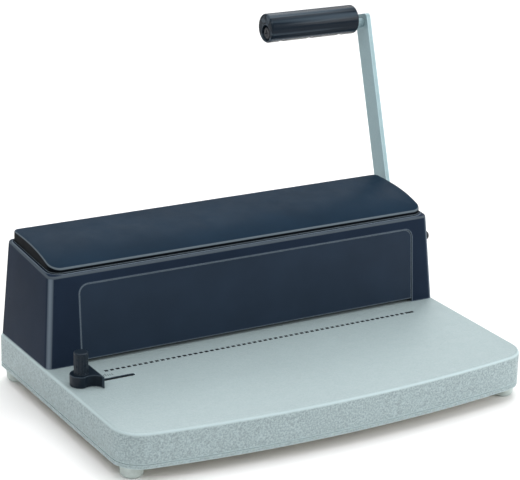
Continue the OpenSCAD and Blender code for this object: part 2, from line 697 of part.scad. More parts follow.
// Fixed comb fingers behind the hooks
comb_y = hook_y + hook_stem + 3;
comb_finger_w = 5;
module comb_plate() color(zinc) in_frame() difference() {
    union() {
        translate([line_x - 148, comb_y, deck_z + deck_t]) cube([296, 10, 1.5]);
        translate([line_x - 148, comb_y, deck_z + deck_t]) cube([296, 1.5, 4]);
        for (k = [0:hole_count - 2])
            translate([slot_x(k) + hole_pitch/2 - comb_finger_w/2, comb_y, deck_z + deck_t])
                cube([comb_finger_w, 1.5, hook_top_z - deck_z - deck_t]);
    }
    comb_screw_places() translate([0, 0, -3]) cylinder(h = 4, r = m3_r, $fn = 32);
}
module comb_screw_places() for (x = [line_x - 138, line_x, line_x + 138])
    translate([x, comb_y + 6, deck_z + deck_t + 1.5]) children();
module comb_plate_screws() color(zinc) in_frame() comb_screw_places() pan_screw(m3_r, 6, 2.6, 1.8);

// ---------- hood ----------

// Corner disc of the hood: side and depth are 0 or 1, h is its height above the base
module hood_disc(side, depth, h, i) let (t = h/shoulder_front_h, r = depth ? hood_back_r : hood_front_r)
    translate([side ? hood_right - hood_draft*t - r : hood_left + hood_draft*t + r,
        depth ? hood_back - back_draft*t - r : hood_front + hood_lean*t + r, top + h])
        cylinder(h = eps, r = r - i, $fn = 64);

module hood_outer() hull() for (side = [0, 1], depth = [0, 1])
    let (h = depth ? shoulder_back_h : shoulder_front_h) {
        hood_disc(side, depth, 0, 0);
        for (k = [0:4]) let (a = 90*k/4)
            hood_disc(side, depth, h - shoulder_r*(1 - sin(a)) - eps, shoulder_r*(1 - cos(a)));
    }

module hood_inner() hull() for (side = [0, 1], depth = [0, 1]) {
    hood_disc(side, depth, -1, hood_wall);
    hood_disc(side, depth, deck_z - top - eps, hood_wall);
}

// Frame in the plane of the front wall: y runs into the hood, z up the wall
module on_front() translate([0, hood_front, top]) rotate([-front_a, 0, 0]) children();

panel_x0 = 33;
panel_x1 = base_w - 23.7;
panel_top = 67.5;
panel_r = 8;
panel_gap = 0.35;
module panel_outline(grow, z0) difference() {
    translate([panel_x0 - grow, -20])
        round_rect(panel_x1 - panel_x0 + 2*grow, panel_top + 20 + grow, panel_r);
    translate([0, -30]) square([base_w, 30 + z0]);
}
module panel_layer(y0, y1, grow, z0) on_front() translate([0, y1, 0]) rotate([90, 0, 0])
    linear_extrude(y1 - y0) panel_outline(grow, z0);

ledge_a = atan(shoulder_slope);
// Plan outline of the lid, larger by grow
module lid_plan(grow) hull() for (x = [0, 1], y = [0, 1]) let (r = y ? lid_back_r : lid_r)
    translate([x ? lid_x1 - r : lid_x0 + r, y ? lid_y1 - r : lid_y0 + r]) circle(r + grow, $fn = 96);

// Lid recess: everything above the sloping ledge, a little larger than the lid
recess_gap = 1.4;
module lid_recess() intersection() {
    translate([0, 0, top]) linear_extrude(shoulder_back_h + 20) lid_plan(recess_gap);
    translate([0, hood_front + hood_lean, top + shoulder_front_h - ledge_drop]) rotate([ledge_a, 0, 0])
        translate([-10, -20, 0]) cube([base_w + 20, hood_d + 40, 30]);
}

bay_in = 4;
module comb_bay() translate([lid_x0 + bay_in, lid_y0 + bay_in, deck_z + deck_t]) linear_extrude(40)
    round_rect(lid_x1 - lid_x0 - 2*bay_in, lid_y1 - lid_y0 - 2*bay_in, 7);

module hood_knuckles(r, grow) for (x = hinge_xs, s = [-1, 1])
    rod_x(x + s*(knuckle_w/2 + 0.3 + 4) - 4 - grow, hinge_y, hinge_z, 8 + 2*grow, r);
module lid_knuckles(r, grow) for (x = hinge_xs)
    rod_x(x - knuckle_w/2 - grow, hinge_y, hinge_z, knuckle_w + 2*grow, r);

module hood_shell() color(navy) in_frame() difference() {
    union() {
        difference() {
            hood_outer();
            hood_inner();
            lid_recess();
            comb_bay();
        }
        for (p = boss_xy) translate([p[0], p[1], top]) cylinder(h = deck_z - top + 1, r = 4.5, $fn = 48);
        hood_knuckles(knuckle_r, 0);
    }
    lid_knuckles(knuckle_r + 0.4, 0.25);
    hood_knuckles(hinge_pin_r, 2);
    panel_layer(-2, hood_wall + 3, panel_gap, -5);
    for (k = [0:hole_count - 1]) translate([slot_x(k) - hook_w/2 - 0.5, hook_y - stroke - 0.6, deck_z - 1])
        cube([hook_w + 1, stroke + hook_stem + 1.2, deck_t + 2]);
    comb_screw_places() translate([0, 0, -6]) cylinder(h = 8, r = m3_r, $fn = 32);
    rod_x(base_w - 15, pivot_y, pivot_z, 20, collar_r + 0.7);
    rod_x(base_w - 15, side_screw_y, side_screw_z, 20, m4_r);
    for (p = boss_xy) translate([p[0], p[1], top - 1]) cylinder(h = 20, r = m4_r, $fn = 32);
    // vent slots in the back wall
    for (k = [0:11]) translate([110 + k*14, hood_back - 10, top + 12]) cube([3, 20, 14]);
}

module hood_screws() color(zinc) in_frame() for (p = boss_xy) translate([p[0], p[1], sheet_z])
    mirror([0, 0, 1]) pan_screw(m4_r, 18, 3.8, 2.4);

// Set-in front panel; its side flanges sit behind the hood's wall
panel_set_in = 0.6;
module front_panel() color(navy) in_frame() union() {
    panel_layer(panel_set_in, hood_wall + panel_set_in, 0, throat_h);
    for (x = [panel_x0 - 4, panel_x1 - 4])
        on_front() translate([x, hood_wall + 0.1, throat_h]) cube([8, 1.8, panel_top - throat_h - 12]);
}

spacer_r = 4;
side_wall_x = hood_right - hood_draft*(side_screw_z - top)/shoulder_front_h;
module side_spacer() color(zinc) in_frame() difference() {
    rod_x(frame_rx + frame_t, side_screw_y, side_screw_z,
        side_wall_x - hood_wall - 0.4 - frame_rx - frame_t, spacer_r);
    rod_x(frame_rx, side_screw_y, side_screw_z, 30, m4_r);
}
module side_screw() color(black) in_frame() translate([side_wall_x + 0.4, side_screw_y, side_screw_z])
    rotate([0, 90, 0]) pan_screw(m4_r, side_wall_x - frame_rx, 3.9, 3.4);

// ---------- lid ----------

// Heights of the lid above the base: along its side edges, and along its crown
lid_back_h = 93;
lid_fall = 11;
lid_crown_h = 1;
function lid_edge(y) = lid_back_h - lid_fall*pow(max(0, (lid_y1 - y)/(lid_y1 - lid_y0)), 3);
function lid_crown(y) = lid_edge(y) + lid_crown_h;
function ledge_h(y) = shoulder_front_h - ledge_drop + shoulder_slope*(y - hood_front - hood_lean);

// Convex lid form, drawn in by i and lowered by drop; its underside lies on the ledge plane
crown_in = 26;
lid_rows = 6;
module lid_form(i, drop, gap) hull() {
    for (side = [0, 1], back = [0, 1])
        let (r = back ? lid_back_r : lid_r, x = side ? lid_x1 - r : lid_x0 + r,
             y = back ? lid_y1 - r : lid_y0 + r, edge_a = atan(lid_edge(y + 1) - lid_edge(y))) {
            translate([x, y, top + ledge_h(y) + gap]) rotate([ledge_a, 0, 0])
                cylinder(h = eps, r = r - i, $fn = 48);
            translate([x, y, top + lid_edge(y) - drop - 0.8]) rotate([edge_a, 0, 0]) {
                cylinder(h = eps, r = r - i, $fn = 48);
                translate([0, 0, 0.8]) cylinder(h = eps, r = r - i - 0.8, $fn = 48);
            }
        }
    for (k = [0:lid_rows]) let (y = lid_y0 + lid_r + (lid_y1 - lid_y0 - lid_r - 1)*k/lid_rows) {
        for (x = [lid_x0 + i + 0.8, lid_x1 - i - 0.8 - eps])
            if (y < lid_y1 - lid_back_r) translate([x, y, top + lid_edge(y) - drop]) cube(eps);
        for (side = [0, 1], f = [0, 0.4]) let (inset = crown_in*(1 - f))
            translate([side ? lid_x1 - inset : lid_x0 + inset, y - i*0.5,
                top + lid_crown(y) - drop - 0.6*lid_crown_h*f]) cube(eps);
    }
}

module top_lid() color(lid_navy) in_frame() difference() {
    union() {
        difference() {
            lid_form(0, 0, lid_gap);
            lid_form(lid_wall, lid_wall, -12);
        }
        lid_knuckles(knuckle_r, 0);
    }
    lid_knuckles(hinge_pin_r + run_clear, 1);
    hood_knuckles(knuckle_r + 0.45, 0.25);
}

module lid_hinge_pins() color(steel) in_frame() for (x = hinge_xs)
    rod_x(x - knuckle_w/2 - 8.3, hinge_y, hinge_z, knuckle_w + 16.6, hinge_pin_r);

module lid_bumpers() color(black) in_frame() for (x = [60, base_w - 58])
    translate([x, lid_y0 + 2, top + ledge_h(lid_y0 + 2)]) rotate([ledge_a, 0, 0])
        cylinder(h = bumper_h, r = 1.5, $fn = 32);

// ---------- chip tray ----------

module chip_tray() color(black) in_frame() difference() {
    union() {
        translate([tray_x0, tray_y0, tray_z0])
            cube([base_w - tray_face_t - tray_x0, tray_y1 - tray_y0, tray_top - tray_z0 - 1]);
        translate([base_w - tray_face_t, tray_y0 - 4, tray_z0])
            cube([tray_face_t, tray_y1 - tray_y0 + 8, tray_top + 0.6 - tray_z0]);
        translate([base_w - eps, tray_y0 + 13, tray_z0 + 5]) cube([3, 24, 3]);
    }
    translate([tray_x0 + tray_wall, tray_y0 + tray_wall, tray_z0 + tray_wall])
        cube([base_w - tray_face_t - tray_x0 - 2*tray_wall, tray_y1 - tray_y0 - 2*tray_wall, 40]);
}

// ---------- edge guide ----------

guide_base_z = top + guide_gap;
// Disc under the knob and a blade whose straight side meets the sheet's edge
module guide_plan() difference() {
    union() {
        translate([knob_x, knob_y]) circle(guide_disc_r, $fn = 96);
        translate([knob_x, knob_y - 16]) square([stop_x - knob_x, 32]);
    }
    translate([knob_x + 4.2, knob_y - 16.2]) circle(8.6, $fn = 64);
    translate([knob_x + 3.2, knob_y + 16.4]) circle(7.4, $fn = 64);
}
module edge_guide() color(black) in_frame() difference() {
    union() {
        translate([0, 0, guide_base_z]) linear_extrude(guide_h) guide_plan();
        // key that rides in the slot
        translate([knob_x - slot_lead + 0.4, knob_y - slot_w/2 + 0.2, sheet_z + 0.1])
            cube([3, slot_w - 0.4, sheet_t + 0.5]);
    }
    translate([knob_x, knob_y, sheet_z - 1]) cylinder(h = 20, r = m4_r + screw_clear, $fn = 32);
}

module guide_nut() color(zinc) in_frame() difference() {
    translate([knob_x - 6, knob_y - 6, sheet_z - 3.3]) cube([12, 12, 3]);
    translate([knob_x, knob_y, sheet_z - 5]) cylinder(h = 8, r = m4_r, $fn = 32);
}

knob_r = 5.9;
knob_h = 18.6;
flutes = 14;
module guide_knob() color(black) in_frame() translate([knob_x, knob_y, guide_base_z + guide_h + 0.15]) {
    translate([0, 0, -17]) cylinder(h = 17, r = m4_r - run_clear, $fn = 32);
    difference() {
        rotate_extrude($fn = 96) {
            square([knob_r, knob_h - 0.9]);
            square([knob_r - 0.9, knob_h]);
            translate([knob_r - 0.9, knob_h - 0.9]) circle(0.9, $fn = 32);
        }
        for (k = [0:flutes - 1]) rotate(360*k/flutes) translate([knob_r + 0.45, 0, 1.4])
            cylinder(h = knob_h - 3.4, r = 0.8, $fn = 24);
    }
}

base_pan();
bottom_plate();
pan_standoffs();
feet();
foot_screws();
side_frame_left();
side_frame_right();
frame_screws();
frame_nuts();
tie_rod();
tie_nuts();
die_plate();
die_screws();
punch_guide();
guide_screws();
back_gauge();
gauge_screws();
guide_posts();
return_springs();
shaft_bush_left();
shaft_bush_right();
punch_bar();
punch_pins();
punch_rack_left();
punch_rack_right();
rack_screws();
drive_shaft();
pinion_left();
pinion_right();
pinion_pins();
retaining_ring();
arm_collar();
handle_arm();
hub_bolt();
grip_rod();
grip();
grip_screw();
hook_plate();
comb_hooks();
hook_rack_left();
hook_rack_right();
hook_screws();
comb_plate();
comb_plate_screws();
hood_shell();
hood_screws();
front_panel();
side_spacer();
side_screw();
top_lid();
lid_hinge_pins();
lid_bumpers();
chip_tray();
edge_guide();
guide_nut();
guide_knob();
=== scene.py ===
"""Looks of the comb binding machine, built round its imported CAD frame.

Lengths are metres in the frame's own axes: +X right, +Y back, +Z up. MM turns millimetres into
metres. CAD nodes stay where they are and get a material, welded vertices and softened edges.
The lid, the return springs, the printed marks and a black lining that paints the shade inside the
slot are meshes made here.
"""
import json
import math

import bmesh
import bpy
from mathutils import Matrix, Vector


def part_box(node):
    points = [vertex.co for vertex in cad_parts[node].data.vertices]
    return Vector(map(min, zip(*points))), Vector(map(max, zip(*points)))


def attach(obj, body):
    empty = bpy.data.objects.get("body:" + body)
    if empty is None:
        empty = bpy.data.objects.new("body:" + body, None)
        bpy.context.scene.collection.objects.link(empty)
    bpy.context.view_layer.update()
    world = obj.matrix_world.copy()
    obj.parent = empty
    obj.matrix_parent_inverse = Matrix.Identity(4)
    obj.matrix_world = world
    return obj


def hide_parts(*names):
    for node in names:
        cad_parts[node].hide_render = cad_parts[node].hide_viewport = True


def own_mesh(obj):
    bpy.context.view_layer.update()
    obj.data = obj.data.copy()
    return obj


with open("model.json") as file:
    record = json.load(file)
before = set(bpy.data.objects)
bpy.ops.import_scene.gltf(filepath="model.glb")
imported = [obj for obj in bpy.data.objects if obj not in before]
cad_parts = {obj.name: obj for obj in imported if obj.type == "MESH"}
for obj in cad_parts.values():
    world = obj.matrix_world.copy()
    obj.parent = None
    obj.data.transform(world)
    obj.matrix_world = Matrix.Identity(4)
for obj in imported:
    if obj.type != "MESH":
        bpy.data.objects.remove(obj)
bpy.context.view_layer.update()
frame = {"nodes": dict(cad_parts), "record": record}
nodes = frame["nodes"]
MM = 0.001


# ---------------------------------------------------------------- camera, floor and light

# How far the middle of the base's front bows out past its corners
FRONT_BOW = 16 * MM

# The camera's place is measured from the left end of the base's front edge
CAMERA_FROM_BASE = Vector((-0.6373, -1.2804, 0.6613))
CAMERA_RIGHT = Vector((0.8664, -0.4986, 0.02625))
CAMERA_FORWARD = Vector((0.4782, 0.8136, -0.3308))
CAMERA_LENS = 142.9
FLOOR_HALF = 9.0


def make_camera():
    """The camera of the reference view: 30 degrees to the left and 19 degrees up."""
    forward = CAMERA_FORWARD.normalized()
    right = (CAMERA_RIGHT - forward * CAMERA_RIGHT.dot(forward)).normalized()
    up = right.cross(forward)
    data = bpy.data.cameras.new("camera")
    data.lens = CAMERA_LENS
    data.clip_end = 50
    camera = bpy.data.objects.new("camera", data)
    turn = Matrix((right, up, -forward)).transposed().to_4x4()
    low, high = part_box("base_pan")
    left_front_top = Vector((low.x, low.y + FRONT_BOW, high.z))
    camera.matrix_world = Matrix.Translation(left_front_top + CAMERA_FROM_BASE) @ turn
    bpy.context.scene.collection.objects.link(camera)
    bpy.context.scene.camera = camera


def make_floor():
    """A plain pale floor that reaches past the view on every side."""
    mesh = bpy.data.meshes.new("floor")
    low, high = -FLOOR_HALF, FLOOR_HALF
    corners = [(low, low, 0), (high, low, 0), (high, high, 0), (low, high, 0)]
    mesh.from_pydata(corners, [], [(0, 1, 2, 3)])
    floor = bpy.data.objects.new("floor", mesh)
    bpy.context.scene.collection.objects.link(floor)
    material = bpy.data.materials.new("floor")
    material.use_nodes = True
    shader = material.node_tree.nodes["Principled BSDF"]
    shader.inputs["Base Color"].default_value = (0.93, 0.93, 0.93, 1)
    shader.inputs["Roughness"].default_value = 0.9
    shader.inputs["Specular IOR Level"].default_value = 0.1
    mesh.materials.append(material)


def add_softbox(name, place, target, size, power):
    """A large white rectangular area light at place, facing target, with its power in watts."""
    data = bpy.data.lights.new(name, "AREA")
    data.shape = "RECTANGLE"
    data.size, data.size_y = size
    data.energy = power
    light = bpy.data.objects.new(name, data)
    light.location = place
    light.rotation_euler = (Vector(target) - Vector(place)).to_track_quat("-Z", "Y").to_euler()
    bpy.context.scene.collection.objects.link(light)


def make_light():
    """Soft studio light: an even white world, a key from the left, a fill from the right and a top
    light. The backdrop light whitens the floor behind the machine.
    """
    world = bpy.data.worlds.new("studio")
    world.use_nodes = True
    background = world.node_tree.nodes["Background"]
    background.inputs["Color"].default_value = (1, 1, 1, 1)
    background.inputs["Strength"].default_value = 0.5
    bpy.context.scene.world = world
    bpy.context.scene.view_settings.view_transform = "Standard"
    middle = (0, 0, 0.1)
    add_softbox("key", (-1.3, -0.9, 2.0), middle, (1.0, 1.0), 12)
    add_softbox("fill", (1.3, -1.1, 0.75), middle, (0.8, 0.8), 13)
    add_softbox("top", (0.2, 0.3, 2.2), middle, (2.4, 1.6), 38)
    add_softbox("backdrop", (2.4, 4.6, 3.6), (2.2, 4.4, 0), (4.0, 4.0), 150)


# ---------------------------------------------------------------- materials


# How far the lighter colour along edges, partly wear and partly painted highlight, reaches over the
# faces beside it
WORN_AND_LIT_REACH = 1.1 * MM


class Nodes:
    """Short names for building one material's node tree."""

    def __init__(self, name):
        self.material = bpy.data.materials.new(name)
        self.material.use_nodes = True
        self.tree = self.material.node_tree
        self.shader = self.tree.nodes["Principled BSDF"]
        where = self.add("ShaderNodeTexCoord")
        self.place = where.outputs["Object"]
        self.facing = where.outputs["Normal"]

    def add(self, kind, **settings):
        node = self.tree.nodes.new(kind)
        for key, value in settings.items():
            setattr(node, key, value)
        return node

    def join(self, source, target):
        self.tree.links.new(source, target)

    def stretch(self, scale):
        """Object coordinates scaled by three numbers, for grain that runs one way."""
        node = self.add("ShaderNodeMapping")
        node.inputs["Scale"].default_value = scale
        self.join(self.place, node.inputs["Vector"])
        return node.outputs["Vector"]

    def noise(self, size, detail=3.0, rough=0.55, where=None):
        """Noise with blotches about size metres across."""
        node = self.add("ShaderNodeTexNoise")
        node.inputs["Scale"].default_value = 1 / size
        node.inputs["Detail"].default_value = detail
        node.inputs["Roughness"].default_value = rough
        self.join(where or self.place, node.inputs["Vector"])
        return node.outputs["Fac"]

    def cells(self, size, feature="SMOOTH_F1"):
        """Distance inside rounded cells about size metres across."""
        node = self.add("ShaderNodeTexVoronoi", feature=feature)
        node.inputs["Scale"].default_value = 1 / size
        self.join(self.place, node.inputs["Vector"])
        return node.outputs["Distance"]

    def spread(self, value, low, high, start=0.3, end=0.7):
        """value from start..end mapped to low..high."""
        node = self.add("ShaderNodeMapRange")
        limits = {"From Min": start, "From Max": end, "To Min": low, "To Max": high}
        for key, number in limits.items():
            node.inputs[key].default_value = number
        self.join(value, node.inputs["Value"])
        return node.outputs["Result"]

    def sum(self, a, b, weight=0.5):
        """a plus weight times b."""
        node = self.add("ShaderNodeMath", operation="MULTIPLY_ADD")
        self.join(b, node.inputs[0])
        node.inputs[1].default_value = weight
        self.join(a, node.inputs[2])
        return node.outputs[0]

    def mix(self, factor, a, b):
        """Colour a where factor is 0 and b where it is 1; each may be a constant or a socket."""
        node = self.add("ShaderNodeMix", data_type="RGBA")
        colour_a, colour_b = node.inputs[6], node.inputs[7]
        for socket, value in ((node.inputs["Factor"], factor), (colour_a, a), (colour_b, b)):
            if isinstance(value, bpy.types.NodeSocket):
                self.join(value, socket)
            elif isinstance(value, tuple):
                socket.default_value = (*value, 1)
            else:
                socket.default_value = value
        return node.outputs[2]

    def edges(self, reach, low=0.1, high=0.4, inside=True):
        """1 along outer edges, fading out over reach; with inside off, 1 in hollows."""
        node = self.add("ShaderNodeAmbientOcclusion", samples=6, inside=inside, only_local=True)
        node.inputs["Distance"].default_value = reach
        return self.spread(node.outputs["AO"], 1, 0, 1 - high, 1 - low)

    def math(self, operation, *values):
        """One arithmetic operation on sockets."""
        node = self.add("ShaderNodeMath", operation=operation)
        for socket, value in zip(node.inputs, values):
            self.join(value, socket)
        return node.outputs[0]

    def facing_axes(self):
        """The surface's direction as three sockets named X, Y and Z."""
        split = self.add("ShaderNodeSeparateXYZ")
        self.join(self.facing, split.inputs[0])
        return split.outputs

    def upward(self, low, high):
        """0 on walls and under faces, 1 on faces that look up."""
        return self.spread(self.facing_axes()["Z"], 0, 1, low, high)

    def corners(self, low, high):
        """1 on rounded upright corners, 0 on the flat walls beside them."""
        axes = self.facing_axes()
        both = self.math("MULTIPLY", axes["X"], axes["Y"])
        return self.spread(self.math("ABSOLUTE", both), 0, 1, low, high)

    def leaning(self, low, high):
        """1 on rounded edges between a wall and a top, where faces lean from low to high."""
        return self.math("SUBTRACT", self.upward(low - 0.15, low), self.upward(high, high + 0.1))

    def bump(self, height, depth, strength):
        """Surface relief that is depth metres high where height is 1."""
        node = self.add("ShaderNodeBump")
        node.inputs["Distance"].default_value = depth
        node.inputs["Strength"].default_value = strength
        self.join(height, node.inputs["Height"])
        self.join(node.outputs["Normal"], self.shader.inputs["Normal"])

    def set(self, **values):
        """Constants for the shader's own sockets, with _ for the spaces in their names."""
        for key, value in values.items():
            self.shader.inputs[key.replace("_", " ")].default_value = value


def shade(colour, factor):
    """A lighter or darker version of a colour."""
    return tuple(min(1, c * factor) for c in colour)


def textured_paint(name, colour, cell, depth, contrast, rough, rim_highlight=1.0):
    """Stove paint with a pebbled surface: rounded lumps, speckle on the walls, and edges lightened
    partly as wear and partly as painted highlight.

    rim_highlight lightens the rounded edge between the walls and the top with a painted highlight.
    """
    n = Nodes(name)
    lumps = n.sum(n.noise(cell, 4, 0.6), n.cells(cell * 1.6), 0.45)
    speckle = n.spread(n.noise(cell, 5, 0.7), 0, 1, 0.38, 0.62)
    patches = n.spread(n.noise(55 * MM, 2), 0, 1)
    walls = n.mix(speckle, shade(colour, 1 - contrast), shade(colour, 1 + contrast))
    top = n.mix(speckle, shade(colour, 1 - contrast / 6), shade(colour, 1 + contrast / 6))
    body = n.mix(n.upward(0.5, 0.95), walls, top)
    tinted = n.mix(patches, shade(colour, 0.96), shade(colour, 1.03))
    body = n.mix(0.3, body, tinted)
    # edges lightened, partly as wear and partly as painted highlight
    worn_and_lit = n.mix(n.edges(WORN_AND_LIT_REACH), body, shade(colour, 1.45))
    # painted highlight on the rounded edge between the walls and the top
    if rim_highlight > 1:
        highlight_band = n.mix(n.upward(0.75, 0.97), shade(colour, rim_highlight), worn_and_lit)
        worn_and_lit = n.mix(n.upward(0.1, 0.5), worn_and_lit, highlight_band)
    n.join(worn_and_lit, n.shader.inputs["Base Color"])
    n.join(n.spread(n.noise(9 * MM, 4), rough - 0.06, rough + 0.08), n.shader.inputs["Roughness"])
    n.bump(lumps, depth, 0.8)
    n.set(Metallic=0.1, Specular_IOR_Level=0.3)
    return n.material


def moulded_plastic(
    name, colour, rough, wear_and_highlight, gloss=0.1, skirt_shade=1.0, corner_highlight=False, highlight_streaks=False, coat=0.0, lip_highlight=0
):
    """Moulded plastic: spark-eroded grain, faint clouds, and edges lightened partly as wear and
    partly as painted highlight.

    wear_and_highlight is the colour of the edges, lightened partly as wear and partly as painted
    highlight. A skirt_shade under 1 darkens the faces that don't look up as painted shade.
    corner_highlight paints a highlight on the upright corners, and highlight_streaks are long
    painted highlight streaks along X. lip_highlight is how light the painted highlight is on the
    edge between the walls and the top, or 0 for none.
    """
    grain = 0.35 * MM
    n = Nodes(name)
    cloud = n.spread(n.noise(40 * MM, 3), 0, 1)
    body = n.mix(cloud, shade(colour, 0.9), shade(colour, 1.1))
    # painted highlight streaks that run along X
    if highlight_streaks:
        lines = n.noise(4.5 * MM, 1, 0.4, n.stretch((0.02, 1, 1)))
        body = n.mix(n.spread(lines, 0, 1, 0.5, 0.62), body, shade(wear_and_highlight, 0.9))
    # painted shade: faces that don't look up are darkened
    if skirt_shade < 1:
        body = n.mix(n.upward(0.3, 0.75), shade(colour, skirt_shade), body)
    # painted highlight on the rounded upright corners
    if corner_highlight:
        body = n.mix(n.corners(0.3, 0.49), body, shade(wear_and_highlight, 0.9))
    # painted highlight on the rounded edge between the walls and the top
    if lip_highlight:
        body = n.mix(n.leaning(0.35, 0.72), body, shade(wear_and_highlight, lip_highlight))
    # edges lightened, partly as wear and partly as painted highlight
    n.join(n.mix(n.edges(WORN_AND_LIT_REACH), body, wear_and_highlight), n.shader.inputs["Base Color"])
    smears = n.sum(n.noise(22 * MM, 5, 0.65), n.noise(2.5 * MM, 2), 0.25)
    n.join(n.spread(smears, rough - 0.05, rough + 0.07, 0.4, 0.8), n.shader.inputs["Roughness"])
    n.bump(n.sum(n.noise(grain, 2), n.cells(grain * 2), 0.4), 0.02 * MM, 0.7)
    n.set(Specular_IOR_Level=gloss, Coat_Weight=coat, Coat_Roughness=0.12)
    return n.material


def ground_steel(name, colour, rough):
    """Steel with fine grinding marks that run along X, and a few oily clouds."""
    n = Nodes(name)
    marks = n.noise(0.7 * MM, 5, 0.7, n.stretch((0.08, 1, 1)))
    oil = n.spread(n.noise(14 * MM, 4), 0, 1)
    body = n.mix(oil, shade(colour, 0.84), shade(colour, 1.04))
    n.join(n.mix(n.spread(marks, 0, 1), body, shade(colour, 1.1)), n.shader.inputs["Base Color"])
    n.join(n.spread(marks, rough - 0.08, rough + 0.1), n.shader.inputs["Roughness"])
    n.bump(marks, 0.02 * MM, 0.6)
    n.set(Metallic=1.0)
    return n.material


def plated_steel(name, colour, rough, tint):
    """Zinc or bronze finish: fine crystals, a colour drift and darker hollows."""
    n = Nodes(name)
    crystals = n.spread(n.cells(0.9 * MM, "F1"), 0, 1, 0.1, 0.7)
    drift = n.spread(n.noise(6 * MM, 4), 0, 1)
    body = n.mix(drift, colour, tint)
    hollow = n.edges(1.5 * MM, 0.2, 0.6, inside=False)
    n.join(n.mix(hollow, body, shade(colour, 0.5)), n.shader.inputs["Base Color"])
    n.join(n.spread(crystals, rough - 0.07, rough + 0.1, 0, 1), n.shader.inputs["Roughness"])
    n.bump(crystals, 0.01 * MM, 0.5)
    n.set(Metallic=1.0)
    return n.material


def rubber(name, colour):
    """Rubber with a dusty bloom and a fine matt grain."""
    n = Nodes(name)
    bloom = n.spread(n.noise(5 * MM, 5, 0.65), 0, 1)
    n.join(n.mix(bloom, shade(colour, 0.88), shade(colour, 1.08)), n.shader.inputs["Base Color"])
    n.join(n.spread(n.noise(1.5 * MM, 3), 0.66, 0.82), n.shader.inputs["Roughness"])
    n.bump(n.noise(0.4 * MM, 3), 0.04 * MM, 0.7)
    n.set(Specular_IOR_Level=0.3)
    return n.material


def printed_ink(name, colour):
    """Pad-printed ink: slightly uneven, with pinholes at the lumps of the paint."""
    n = Nodes(name)
    thin = n.spread(n.noise(0.6 * MM, 4), 0, 1, 0.66, 0.9)
    n.join(n.mix(thin, colour, shade(colour, 6)), n.shader.inputs["Base Color"])
    n.join(n.spread(n.noise(1 * MM, 3), 0.45, 0.65), n.shader.inputs["Roughness"])
    n.bump(n.noise(0.5 * MM, 3), 0.02 * MM, 0.6)
    n.set(Specular_IOR_Level=0.15)
    return n.material


SILVER = (0.305, 0.378, 0.39)
ARM_GREY = (0.26, 0.37, 0.40)
NAVY = (0.0125, 0.0215, 0.039)
PANEL_NAVY = (0.0145, 0.0265, 0.046)
LID_NAVY = (0.0085, 0.0215, 0.039)
BLACK = (0.008, 0.014, 0.022)
# Edge colours, lighter than the bodies: partly wear and partly painted highlight
WORN_AND_LIT_NAVY = (0.15, 0.19, 0.23)
WORN_AND_LIT_SEAM_NAVY = (0.19, 0.24, 0.28)
WORN_AND_LIT_BLACK = (0.05, 0.07, 0.09)

# The base's paint gets a painted highlight on the rounded edge round its top
PAINT = textured_paint("base_paint", SILVER, 1.5 * MM, 0.35 * MM, 0.36, 0.45, rim_highlight=1.45)
ARM_PAINT = textured_paint("arm_paint", ARM_GREY, 0.9 * MM, 0.08 * MM, 0.08, 0.4)
# The hood gets painted highlights on its upright corners and along its top edge
HOOD = moulded_plastic("hood_plastic", NAVY, 0.32, WORN_AND_LIT_NAVY, gloss=0.02, corner_highlight=True, lip_highlight=0.45)
# The panel's seam edges are lightened, partly as wear and partly as painted highlight
PANEL = moulded_plastic("panel_plastic", PANEL_NAVY, 0.4, WORN_AND_LIT_SEAM_NAVY, gloss=0.1)
# The lid gets painted shade on its walls and a painted highlight along its top edge
LID = moulded_plastic("lid_plastic", LID_NAVY, 0.4, WORN_AND_LIT_SEAM_NAVY, gloss=0.02, skirt_shade=0.1, lip_highlight=0.55)
# The grip gets painted highlight streaks along its length
GRIP = moulded_plastic("grip_plastic", BLACK, 0.2, WORN_AND_LIT_BLACK, 0.06, highlight_streaks=True, coat=0.05)
TRIM = moulded_plastic("black_plastic", BLACK, 0.3, WORN_AND_LIT_BLACK, gloss=0.12, coat=0.04)
OXIDE = textured_paint("black_oxide", (0.01, 0.013, 0.018), 0.4 * MM, 0.02 * MM, 0.15, 0.4)
FOOT = rubber("foot_rubber", (0.5, 0.57, 0.55))
BUMPER = rubber("bumper_rubber", (0.02, 0.02, 0.022))
STEEL = ground_steel("steel", (0.5, 0.51, 0.53), 0.36)
PIN_STEEL = ground_steel("pin_steel", (0.62, 0.63, 0.65), 0.28)
SPRING_STEEL = ground_steel("spring_steel", (0.42, 0.43, 0.45), 0.3)
ZINC = plated_steel("zinc", (0.62, 0.62, 0.58), 0.34, (0.68, 0.65, 0.52))
BRONZE = plated_steel("bronze", (0.5, 0.33, 0.13), 0.4, (0.42, 0.27, 0.12))
INK = printed_ink("print_ink", (0.006, 0.008, 0.012))

# The material of each of the record's slots
FINISH = {
    "base_paint": PAINT,
    "arm_paint": ARM_PAINT,
    "hood_plastic": HOOD,
    "panel_plastic": PANEL,
    "lid_plastic": LID,
    "grip_plastic": GRIP,
    "black_plastic": TRIM,
    "black_oxide": OXIDE,
    "foot_rubber": FOOT,
    "bumper_rubber": BUMPER,
    "steel": STEEL,
    "pin_steel": PIN_STEEL,
    "spring_steel": SPRING_STEEL,
    "zinc": ZINC,
    "bronze": BRONZE,
}


# ---------------------------------------------------------------- CAD nodes

# Millimetres that the edges of a node are rounded by, where it isn't the usual amount
SOFT_EDGE = {
    "base_pan": 0.5,
    "hood_shell": 0.5,
    "front_panel": 0.4,
    "handle_arm": 0.7,
    "grip": 0.5,
    "edge_guide": 0.5,
    "chip_tray": 0.4,
    "feet": 0.5,
    "punch_pins": 0.08,
    "return_springs": 0.0,
    "die_plate": 0.1,
    "punch_guide": 0.12,
    "comb_plate": 0.2,
}
USUAL_EDGE = 0.2
WELD_REACH = 0.014 * MM
FLAT_ANGLE = 0.4


